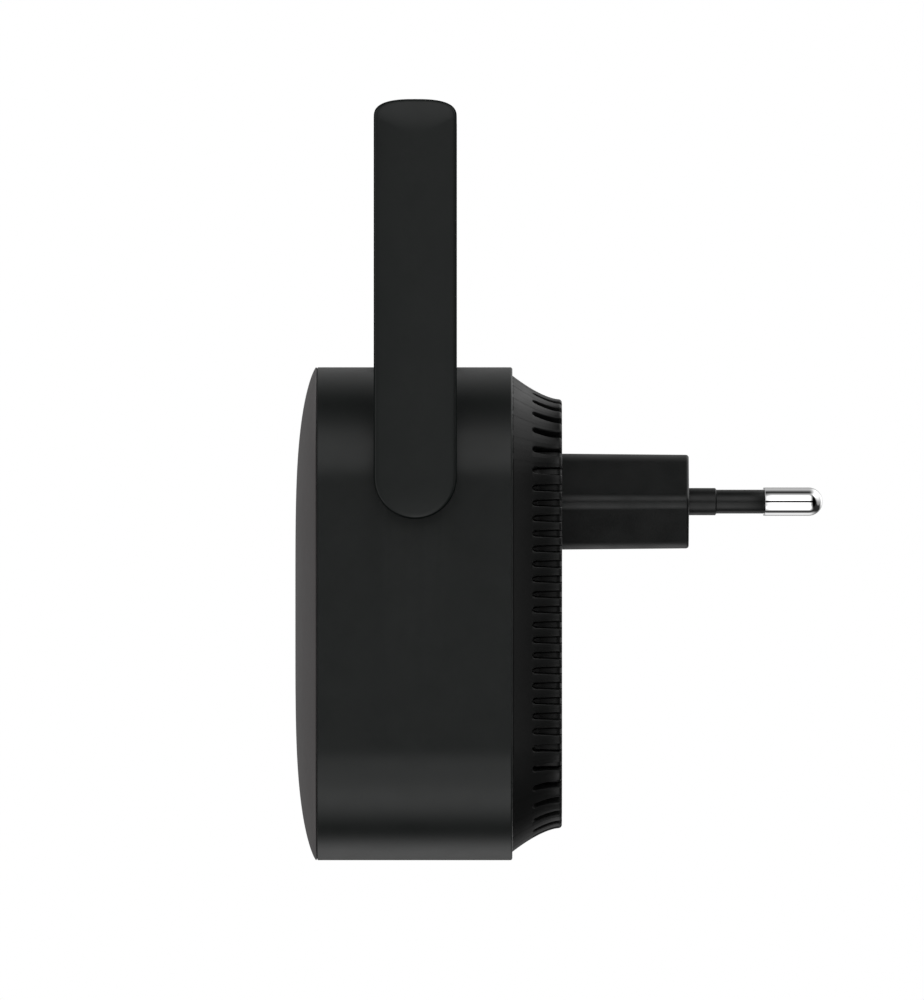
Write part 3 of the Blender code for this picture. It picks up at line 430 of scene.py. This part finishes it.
class Column:
    """One line of points down the cover: on the land between slots, on a slot's rounded edge or down in it.

    kind is land, edge, trench or floor. step is the place in the kind, and side is -1 or 1 across the slot.
    """

    def __init__(self, turn, origin, angle, kind="land", step=0.0, side=0, depth=0.0):
        heading = np.array([math.cos(angle), math.sin(angle)])
        self.origin = turn @ np.array(origin) + np.array([0.0, SLOT_LIFT])
        self.heading = turn @ heading
        self.across = turn @ np.array([-heading[1], heading[0]])
        self.kind, self.step, self.side, self.depth = kind, step, side, depth


def cover_columns():
    """Columns round the cover, a quarter at a time: the slots of a side, then the fan of a corner."""
    half_slot = [("edge", step) for step in range(4)] + [("trench", 0.97), ("trench", 0.74), ("floor", 0.66)]
    walk = [(kind, step, -1) for kind, step in half_slot]
    walk += [(kind, step, 1) for kind, step in reversed(half_slot)]
    fan_angle, lower_squeeze, land_share = math.radians(90 / CORNER_SLOTS), 0.94, 0.12
    columns = []
    for quarter in range(4):
        c, s = round(math.cos(quarter * math.pi / 2)), round(math.sin(quarter * math.pi / 2))
        turn = np.array([[c, -s], [s, c]], float)
        depth = SLOT_DEEP if quarter % 2 else SLOT_SHALLOW
        for i in range(SIDE_SLOTS):
            place = (i - SIDE_SLOTS // 2) * SLOT_PITCH
            columns += [Column(turn, (0.0, place), 0.0, *part, depth) for part in walk]
            if i < SIDE_SLOTS - 1:
                columns.append(Column(turn, (0.0, place + SLOT_PITCH / 2), 0.0))

        def fan(share):
            """The heading of a corner column. The lower corners' slots sit a little closer to the sides."""
            angle = share * fan_angle
            if quarter == 2:
                return lower_squeeze * angle
            if quarter == 3:
                return math.pi / 2 - lower_squeeze * (math.pi / 2 - angle)
            return angle

        middle = (FAN_CENTRE, FAN_CENTRE)
        for i in range(CORNER_SLOTS):
            for back in (land_share, -land_share) if i else (0.0,):
                columns.append(Column(turn, middle, fan(i + back)))
            columns += [Column(turn, middle, fan(i + 0.5), *part, SLOT_DEEP) for part in walk]
        columns.append(Column(turn, middle, math.pi / 2))
    return columns


def cover_rows():
    """Rows down the cover: (inset, depth behind the rim, slot half width), and the slots' first and last."""
    rows = [(STEP, -1.2 * MM, 0.0), (STEP, 0.0, 0.0)]
    plain = [*np.linspace(0.25 * MM, SLOT_START - 0.08 * MM, 12), SLOT_START - 0.03 * MM]
    rows += [(flare(y), y, 0.0) for y in plain]
    first = len(rows)
    for a in np.radians(np.linspace(0, 90, 9)):
        y = SLOT_START + SLOT_HALF_START * (1 - math.cos(a))
        rows.append((flare(y), y, SLOT_HALF_START * math.sin(a)))
    round_end = SLOT_START + SLOT_HALF_START
    for y in np.linspace(round_end, WAIST, 12)[1:]:
        share = (y - round_end) / (WAIST - round_end)
        rows.append((flare(y), y, SLOT_HALF_START + (SLOT_HALF_END - SLOT_HALF_START) * share))
    back = flare(WAIST) + BACK_EDGE
    rows += [(back + x, WAIST + y, SLOT_HALF_END) for x, y in arc(BACK_EDGE, 180, 90, 5)[1:]]
    rows += [(inset, COVER_DEPTH, SLOT_HALF_END) for inset in np.linspace(back, SLOT_END_INSET, 4)[1:]]
    last = len(rows) - 1
    tail = (SLOT_END_INSET + 0.05 * MM, SLOT_END_INSET + 0.4 * MM, PLATE_INSET)
    rows += [(inset, COVER_DEPTH, 0.0) for inset in tail]
    return rows, first, last


def slot_place(column, half, reach):
    """How far a column moves across its slot, and its share of the way down to the slot's floor."""
    if column.kind == "land":
        return 0.0, 0.0
    if column.kind == "edge":
        rounding = min(SLOT_BEVEL, half + 0.02 * MM) if reach else SLOT_BEVEL
        half = max(half, 0.06 * MM) if reach else 0.4 * MM
        a = math.radians(30 * column.step)
        shift = column.side * (half + rounding * (1 - math.sin(a)))
        sink = rounding * (1 - math.cos(a))
    else:
        half = max(half, 0.06 * MM) if reach else 0.4 * MM
        shift = column.side * half * column.step
        sink = reach * (1.0 if column.kind == "trench" else 1.0 - RIDGE)
    return shift, min(sink / reach, 1.0) if reach > 1e-6 else 0.0


def cover_skin():
    """The waisted wall of the back cover as one grid: columns run down into each slot and out again."""
    rows, first, last = cover_rows()
    columns = cover_columns()
    origin = np.array([column.origin for column in columns])
    heading = np.array([column.heading for column in columns])
    across = np.array([column.across for column in columns])
    depth = np.array([column.depth for column in columns])
    rings, normals = [], []

    def ring(starts, inset, y):
        flat = starts + heading * outline_reach(starts, heading, inset)[:, None]
        rings.append([(x, RIM_Y + h, z + BODY_Z) for (x, z), h in zip(flat, np.broadcast_to(y, len(flat)))])
        return flat

    for k, (inset, y, half) in enumerate(rows):
        open_slot = first <= k <= last
        run = (k - first) / (last - first)
        floor_inset = (flare(SLOT_START) + depth) * (1 - run) + SLOT_END_INSET * run
        floor_y = SLOT_START + (COVER_DEPTH - SLOT_START) * run
        reach = np.hypot(floor_inset - inset, floor_y - y) * open_slot
        shift, sunk = np.array([slot_place(column, half, r) for column, r in zip(columns, reach)]).T
        starts = origin + across * shift[:, None]
        flat = ring(starts, inset + (floor_inset - inset) * sunk, y + (floor_y - y) * sunk)
        normals.append(outline_normals(flat, flare_tilt(y)) * (sunk < 1e-9)[:, None])
    # The inside of the wall, on the last row's columns
    for inset, y in ((PLATE_INSET, COVER_DEPTH - BACK_WALL), (PLATE_INSET, 2.4 * MM), (3.4 * MM, 0.6 * MM),
                     (STEP + 1.4 * MM, -1.2 * MM)):
        ring(starts, np.full(len(columns), inset), y)
    cover = skin("back_cover_skin", rings, looped=True)
    return finish_mesh(cover, COVER), np.concatenate(normals)


def make_cover():
    """The wall with its slots, joined by the flat back plate with its screw posts and the plug's opening."""
    cover, normals = cover_skin()
    overlap, hair = 0.05 * MM, 0.01 * MM
    plate_faces = (BACK_Y - BACK_WALL, BACK_Y - hair)
    plate = skin("back_plate", [casing_ring(y, PLATE_INSET - overlap) for y in plate_faces])
    places = [(sx * SCREW_PLACE, BACK_Y, BODY_Z + sz * SCREW_PLACE) for sx in (-1, 1) for sz in (-1, 1)]
    posts = [rod(3.8 * MM, -6.0 * MM, -1.0 * MM, "Y", place, 64) for place in places]
    holes = [rod(2.9 * MM, -4.1 * MM, 1 * MM, "Y", place, 64) for place in places]
    holes.append(skin("cutter", [plug_ring(y, 0.12 * MM) for y in (BACK_Y + 1 * MM, BACK_Y - 3 * MM)]))
    finish_mesh(plate, COVER, holes, joined=posts)
    with bpy.context.temp_override(active_object=cover, selected_editable_objects=[cover, plate]):
        bpy.ops.object.join()
    use_normals(cover.data, normals)
    return settle(cover, "casing", "cover_plastic", "back_cover")


# ---------------------------------------------------------------- plug and pins

def plug_ring(y, grow, steps=10):
    """The flat plug's outline: long flats, slants with soft shoulders, and full round noses."""
    spread = grow * math.tan(math.radians(22.5))
    w, h, f = PLUG_HALF_WIDTH + grow, PLUG_HALF_HEIGHT + grow, PLUG_HALF_FLAT + spread
    nose = PLUG_HALF_HEIGHT - (PLUG_HALF_WIDTH - PLUG_HALF_FLAT) + spread
    corners = [(w, -nose), (w, nose), (f, h), (-f, h), (-w, nose), (-w, -nose), (-f, -h), (f, -h)]
    radii = [radius + grow for radius in (NOSE_RADIUS, NOSE_RADIUS, SHOULDER_RADIUS, SHOULDER_RADIUS)] * 2
    points = []
    for i, corner in enumerate(corners):
        here = Vector(corner)
        to_last = (Vector(corners[i - 1]) - here).normalized()
        to_next = (Vector(corners[(i + 1) % 8]) - here).normalized()
        half_angle = to_last.angle(to_next) / 2
        centre = here + (to_last + to_next).normalized() * radii[i] / math.sin(half_angle)
        reach = radii[i] / math.tan(half_angle)
        begin, end = here + to_last * reach - centre, here + to_next * reach - centre
        for step in range(steps + 1):
            point = centre + begin.slerp(end, step / steps).normalized() * radii[i]
            points.append((point.x, y, point.y))
    return points


def make_plug():
    edge = 0.4 * MM
    rings = [(plug_low.y, 0.0), (BACK_Y - 3 * MM, 0.0), (BACK_Y, 0.0)]
    rings += [(y, -PLUG_DRAFT * (y - BACK_Y) / -BACK_Y) for y in np.linspace(BACK_Y, -edge, 10)[1:]]
    rings += [(y - edge, -PLUG_DRAFT - edge + x) for x, y in arc(edge, 0, 90, 6)[1:]]
    plug = skin("plug_body_skin", [plug_ring(y, grow) for y, grow in rings])
    holes = [rod(2.08 * MM, -2.5 * MM, 1 * MM, "Y", (side * PIN_PLACE, 0, 0), 48) for _, side in SIDES]
    return settle(finish_mesh(plug, PLUG, holes), "casing", "plug_plastic", "plug_body")


def make_pins():
    shoulder = 3.72 * MM
    straight = PIN_LENGTH - PIN_RADIUS
    for name, side in SIDES:
        matrix = (Matrix.Translation((side * PIN_PLACE, 0, 0)) @ Matrix.Rotation(side * PIN_LEAN, 4, "Z")
                  @ Matrix.Rotation(-math.pi / 2, 4, "X"))
        core = [(0.9 * MM, -2.4 * MM), (0.9 * MM, SLEEVE_END), (1.1 * MM, SLEEVE_END)]
        core += [(1.66 * MM, 10.74 * MM), (1.93 * MM, 10.76 * MM)]
        core += [(1.98 * MM, 10.79 * MM), (PIN_RADIUS, 10.86 * MM)]
        core += [(PIN_RADIUS, 11.1 * MM + (straight - 11.1 * MM) * i / 6) for i in range(1, 6)]
        core += [(PIN_RADIUS * math.cos(a), straight + PIN_RADIUS * math.sin(a))
                 for a in np.radians(np.linspace(0, 89, 22))]
        pin = turned(f"{name}_pin_tip", core, matrix, 72)
        settle(finish_mesh(pin, NICKEL, sharp=50), "casing", "nickel_pin", f"{name}_pin")
        profile = [(1.2 * MM, -2.5 * MM), (1.93 * MM, -2.5 * MM), (1.93 * MM, shoulder)]
        profile += [(1.85 * MM + r, shoulder + h) for r, h in arc(0.08 * MM, 0, 90, 3)[1:]]
        profile += [(1.69 * MM, h) for h in (3.92 * MM, 5.5 * MM, 8.0 * MM, SLEEVE_END)]
        profile += [(1.63 * MM, SLEEVE_END + 0.1 * MM), (1.2 * MM, SLEEVE_END + 0.1 * MM)]
        sleeve = turned(f"{name}_pin_sleeve_skin", profile, matrix, 64, looped=True)
        settle(finish_mesh(sleeve, SLEEVE), "casing", "sleeve_plastic", f"{name}_pin_sleeve")


# ---------------------------------------------------------------- antennas

def antenna_ring(x, inset, pivot, fall=0.0, steps=32):
    """The paddle's outline: round below, a low dome above. The face may fall away a little near the top."""
    half, reach = PADDLE_HALF - inset, PADDLE_REACH - inset * 0.5
    rise, squareness = PADDLE_RISE * (1 - inset / PADDLE_HALF), 0.727
    points = []
    for i in range(steps + 1):
        a = math.pi + math.pi * i / steps
        points.append((x, pivot.y + half * math.cos(a), pivot.z + half * math.sin(a)))
    for height in np.linspace(0, reach, 14)[1:-1]:
        points.append((x, pivot.y + half, pivot.z + height))
    for i in range(steps + 1):
        a = math.pi * i / steps
        across, up = math.cos(a), max(math.sin(a), 0.0)
        points.append((x, pivot.y + math.copysign(half * abs(across) ** squareness, across),
                       pivot.z + reach + rise * up ** squareness))
    for height in np.linspace(reach, 0, 14)[1:-1]:
        points.append((x, pivot.y - half, pivot.z + height))
    fall_start, fall_length = 48.5 * MM, 4.75 * MM
    return [(x - fall * max((z - pivot.z - fall_start) / fall_length, 0) ** 2, y, z) for x, y, z in points]


def crown(inset):
    """How far the paddle's outer face has fallen away from its middle, at an inset from the edge."""
    u = 1 - (inset - PADDLE_DRAFT) / (PADDLE_HALF - PADDLE_DRAFT)
    edge_drop, bow = 0.2 * MM, 0.25 * MM
    return edge_drop * (1 - (1 - u ** 36) ** 0.5) + bow * u * u


def dull_sides(obj):
    """Gives the paddle's narrow side faces the matter finish."""
    obj.data.materials.append(ANTENNA_SIDE)
    for face in obj.data.polygons:
        if abs(face.normal.x) < 0.6:
            face.material_index = 1
    return obj


def make_antennas():
    edge, seam, thickness = 0.5 * MM, 0.15 * MM, 2.05 * MM
    for name, side in SIDES:
        body, pivot = f"{name}_antenna", pivots[name]
        low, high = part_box(f"{name}_antenna_outer_cover")
        top, joint = max(abs(low.x), abs(high.x)), min(abs(low.x), abs(high.x))
        split = joint - seam
        face = split - thickness

        # Inner cover: a tongue behind the seam, side walls, a rounded back edge and the hollow hub
        tongue = split + 0.13 * MM
        rings = [(tongue, 2.0 * MM), (tongue, 0.6 * MM), (split, 0.55 * MM), (split, 0.12 * MM),
                 (split - 0.03 * MM, 0.04 * MM), (split - 0.1 * MM, 0.0), (face + edge, 0.0)]
        rings += [(face + edge - y, edge - x) for x, y in arc(edge, 0, 90, 6)[1:]]
        rings += [(face, 2.0 * MM), (face, 5.0 * MM)]
        inner = skin(f"{name}_inner_cover_skin", [antenna_ring(side * x, inset, pivot) for x, inset in rings])
        centre = (side * face, pivot.y, pivot.z)
        profile = [(3.4 * MM, -1.1 * MM), (3.4 * MM, 7.3 * MM), (3.0 * MM, 7.7 * MM)]
        hub = turned("hub", profile, along("X", centre, -side), 58)
        bore = rod(1.7 * MM, -20 * MM, 20 * MM, "X", centre, 40)
        dull_sides(finish_mesh(inner, ANTENNA, [bore], [hub]))
        settle(inner, body, "antenna_plastic", f"{name}_antenna_inner_cover")

        # Outer cover: drafted side walls, then the crowned face
        rings = [(joint, 1.0 * MM), (joint, 0.12 * MM)]
        rings += [(joint + 0.03 * MM, 0.04 * MM), (joint + 0.1 * MM, 0.0)]
        rings += [(joint + share * 2.4 * MM, PADDLE_DRAFT * share) for share in (0.25, 0.5, 0.75)]
        insets = PADDLE_DRAFT + 5.6 * MM * np.linspace(0.0, 1.0, 36) ** 2.2
        outside = [antenna_ring(side * x, inset, pivot) for x, inset in rings]
        outside += [antenna_ring(side * (top - crown(inset)), inset, pivot, side * 0.45 * MM)
                    for inset in insets]
        outer = dull_sides(finish_mesh(skin(f"{name}_outer_cover_skin", outside), ANTENNA))
        settle(outer, body, "antenna_plastic", f"{name}_antenna_outer_cover")


# ---------------------------------------------------------------- screws

def recess_blade(place, turn):
    """One blade of a screw's cross recess. It narrows towards its lower end."""
    height, taper = 1.25 * MM, 0.55
    size = Matrix.Diagonal((3.0 * MM, 1.4 * MM, 0.62 * MM, 1))
    spin = Matrix.Rotation(math.radians(turn), 4, "Y")
    middle = Matrix.Translation(Vector(place) + Vector((0, height, 0)))
    bm = bmesh.new()
    bmesh.ops.create_cube(bm, size=1.0, matrix=middle @ spin @ size)
    for vert in bm.verts:
        if vert.co.y < place[1] + height:
            across = vert.co - Vector(place)
            vert.co.x, vert.co.z = place[0] + across.x * taper, place[2] + across.z * taper
    return raw_object("cutter", bm)


def make_screws():
    head_radius, head_height, crown_height, rim = 2.5 * MM, 1.3 * MM, 0.72 * MM, 0.55 * MM
    for node in [n for n in frame["nodes"] if n.startswith("cover_screw")]:
        low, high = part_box(node)
        place = ((low.x + high.x) / 2, high.y - head_height, (low.z + high.z) / 2)
        profile = [(1.1 * MM, -8 * MM), (1.1 * MM, -0.3 * MM), (1.3 * MM, 0.0), (2.35 * MM, 0.0),
                   (head_radius, 0.12 * MM), (head_radius, rim)]
        profile += [(head_radius * math.cos(a), rim + crown_height * math.sin(a))
                    for a in np.radians(np.linspace(10, 84, 10))]
        screw = turned(f"{node}_head", profile, along("Y", place), 48)
        cutters = [recess_blade(place, turn) for turn in (20, 110)]
        settle(finish_mesh(screw, INSIDE["steel"], cutters), "casing", "steel", node)


# ---------------------------------------------------------------- carried-over parts

def dress_inside():
    """Gives every CAD node that still shows its slot's finish."""
    slots = {part["node"]: part["material_slot"] for part in frame["record"]["subparts"]}
    looks = {**INSIDE, "shell_plastic": SHELL, "antenna_plastic": ANTENNA, "sleeve_plastic": SLEEVE,
             "nickel_pin": NICKEL, "plug_plastic": PLUG, "cover_plastic": COVER, "panel_plastic": PANEL,
             "light_pipe": LENS}
    for name, node in frame["nodes"].items():
        for entry in node.material_slots:
            entry.material = looks[slots[name]]


# ---------------------------------------------------------------- stage, light and camera

def make_floor():
    """A wide white disc below the object, left out of reflections and bounced light."""
    bm = bmesh.new()
    bmesh.ops.create_circle(bm, cap_ends=True, segments=96, radius=2.5)
    bmesh.ops.translate(bm, verts=bm.verts, vec=(0, 0, -0.13))
    mesh = bpy.data.meshes.new("floor")
    bm.to_mesh(mesh)
    bm.free()
    floor = bpy.data.objects.new("floor", mesh)
    bpy.context.scene.collection.objects.link(floor)
    floor.visible_glossy = floor.visible_diffuse = False
    look = bpy.data.materials.new("floor")
    look.use_nodes = True
    shader = look.node_tree.nodes["Principled BSDF"]
    socket(shader, "Base Color", (0.88, 0.88, 0.88, 1))
    socket(shader, "Roughness", 1.0)
    socket(shader, "Specular IOR Level", 0.0)
    mesh.materials.append(look)


def make_light():
    """A white studio. In reflections only, soft boxes and dark gaps run along Y."""
    world = bpy.data.worlds.new("studio")
    bpy.context.scene.world = world
    world.use_nodes = True
    nodes, links = world.node_tree.nodes, world.node_tree.links
    background = nodes["Background"]

    def fill(entry, value):
        if isinstance(value, (int, float)):
            entry.default_value = value
        else:
            links.new(value, entry)

    def maths(operation, *values):
        node = nodes.new("ShaderNodeMath")
        node.operation = operation
        for entry, value in zip(node.inputs, values):
            fill(entry, value)
        return node.outputs["Value"]

    def smooth(value, start, end):
        """0 at start and 1 at end. Either may be the lower one."""
        node = nodes.new("ShaderNodeMapRange")
        node.interpolation_type = "SMOOTHSTEP"
        fill(node.inputs["Value"], value)
        swap = end < start
        node.inputs["From Min"].default_value, node.inputs["From Max"].default_value = sorted((start, end))
        node.inputs["To Min"].default_value, node.inputs["To Max"].default_value = (1, 0) if swap else (0, 1)
        return node.outputs["Result"]

    def levels(value, stops, most):
        """A ramp through (position, level) stops. The highest level is at or below most."""
        node = nodes.new("ShaderNodeValToRGB")
        elements = node.color_ramp.elements
        while len(elements) < len(stops):
            elements.new(0.5)
        for element, (position, level) in zip(elements, stops):
            element.position = position
            element.color = (level / most, level / most, level / most, 1)
        links.new(value, node.inputs["Fac"])
        return maths("MULTIPLY", node.outputs["Color"], most)

    place = nodes.new("ShaderNodeTexCoord")
    split = nodes.new("ShaderNodeSeparateXYZ")
    links.new(place.outputs["Generated"], split.inputs["Vector"])
    x, y, z = (split.outputs[axis] for axis in "XYZ")
    round_angle = maths("MULTIPLY_ADD", maths("ARCTAN2", z, x), 0.5 / math.pi, 0.5)
    # The room's level by the angle about Y in degrees: 0 is +X and 90 is straight up
    strips = [(-180, .2), (-161, .2), (-143, .52), (-128, .95), (-116, .95), (-104, .4), (-98, .03),
              (-86, .02), (-80, .28), (-72, .85), (-58, 2.05), (-45, 2.3), (-33, 1.55), (-20, 1.5),
              (-10, 1.9), (-6, .03), (6, .03), (10, 1.9), (20, 1.9), (33, 1.95), (44, 1.6), (55, .75),
              (66, .3), (75, .08), (81, .02), (87, .03), (93, .12), (103, .34), (114, .48), (126, .53),
              (141, .45), (180, .2)]
    room = levels(round_angle, [((angle + 180) / 360, level) for angle, level in strips], 2.5)
    height = maths("ABSOLUTE", z)
    front_stops = [(0.0, .35), (.03, .5), (.1, .8), (.42, 1.3), (.7, 1.3), (.82, .9), (.9, .58), (.98, .1)]
    front = levels(height, front_stops, 2.0)
    front = maths("MULTIPLY", front, maths("MULTIPLY_ADD", x, 0.25, 0.75))
    wall_stops = [(0.0, .02), (.45, .03), (.5, .10), (.57, .3), (.7, 1.0), (.82, 1.8), (.92, 1.1), (1.0, .4)]
    wall = levels(maths("MULTIPLY_ADD", z, 0.5, 0.5), wall_stops, 3.0)
    glow = maths("MULTIPLY", smooth(x, -0.2, -0.7), smooth(height, 0.45, 0.1))
    wall = maths("MULTIPLY", wall, smooth(x, 0.55, 0.3))
    wall = maths("ADD", wall, maths("MULTIPLY_ADD", smooth(y, 0.9, 0.98), 0.3, glow))
    to_front = smooth(y, -0.45, -0.85)
    to_wall = smooth(y, 0.06, 0.6)
    middle = maths("SUBTRACT", 1.0, maths("ADD", to_front, to_wall))
    shade_front = maths("MULTIPLY", smooth(y, 0.0, -0.3), smooth(x, 0.0, 0.4))
    middle = maths("MULTIPLY", middle, maths("MULTIPLY_ADD", shade_front, -0.8, 1.0))
    seen = maths("MULTIPLY", room, middle)
    seen = maths("MULTIPLY_ADD", front, to_front, seen)
    seen = maths("MULTIPLY_ADD", wall, to_wall, seen)

    # Diffuse light comes from all round, a little more from above, the front and +X
    rays = nodes.new("ShaderNodeLightPath")
    glossy = rays.outputs["Is Glossy Ray"]
    soft = maths("MULTIPLY_ADD", z, 0.35, maths("MULTIPLY_ADD", y, -0.2, maths("MULTIPLY_ADD", x, 0.15, 0.9)))
    strength = maths("MULTIPLY_ADD", glossy, seen, maths("MULTIPLY", rays.outputs["Is Diffuse Ray"], soft))
    strength = maths("ADD", strength, rays.outputs["Is Camera Ray"])
    links.new(strength, background.inputs["Strength"])
    background.inputs["Color"].default_value = (1, 1, 1, 1)


def make_camera():
    """A long lens straight from +X, as in the photo."""
    data = bpy.data.cameras.new("camera")
    data.lens, data.sensor_width = 1013.8, 36.0
    data.clip_start, data.clip_end = 0.5, 20.0
    camera = bpy.data.objects.new("camera", data)
    bpy.context.scene.collection.objects.link(camera)
    camera.location = (4.0, -0.03212, 0.00023)
    camera.rotation_euler = (math.pi / 2, 0, math.pi / 2)
    bpy.context.scene.camera = camera
    bpy.context.scene.view_settings.view_transform = "Standard"


make_shell()
make_panel()
make_light_pipe()
make_cover()
make_plug()
make_pins()
make_antennas()
make_screws()
dress_inside()
make_floor()
make_light()
make_camera()
